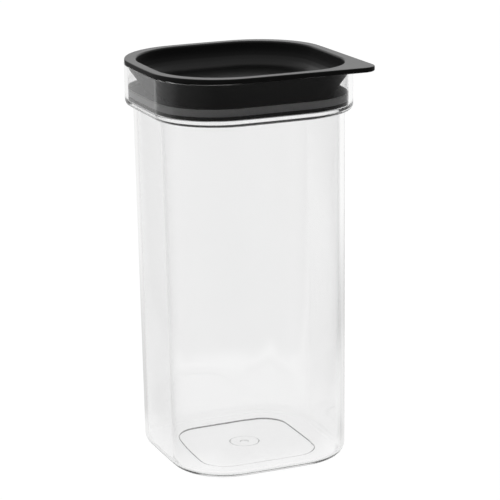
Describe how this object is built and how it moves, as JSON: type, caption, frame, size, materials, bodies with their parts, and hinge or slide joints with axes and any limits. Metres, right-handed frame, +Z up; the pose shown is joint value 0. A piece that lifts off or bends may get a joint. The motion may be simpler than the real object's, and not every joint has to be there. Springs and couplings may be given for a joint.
{
  "type": "lidded storage canister",
  "caption": "Tall clear canister with rounded square walls and a stepped collar, closed by a black press-in lid with a dish top, a corner pull tab and a soft seal.",
  "frame": {"origin": "middle of the foot, in the plane that the canister stands on", "axes": "+Z up along the canister, the four flat sides face +X, +Y, -X and -Y, and the lid's pull tab is over the +X -Y corner"},
  "size_m": [0.1071, 0.1071, 0.207],
  "materials": {
    "clear_plastic": "clear and polished, faintly uneven as moulded",
    "lid_plastic": "black, fine satin",
    "seal_rubber": "grey, translucent and soft, paler at its thin lip"
  },
  "bodies": {
    "jar": {"jar": "clear_plastic"},
    "lid": {"lid_top": "lid_plastic", "seal_ring": "seal_rubber", "plug_base": "lid_plastic"}
  },
  "joints": [
    {"name": "lid_lift", "type": "slide", "parent": "jar", "child": "lid", "axis": [0, 0, 1], "range_m": [0, 0.12]}
  ]
}
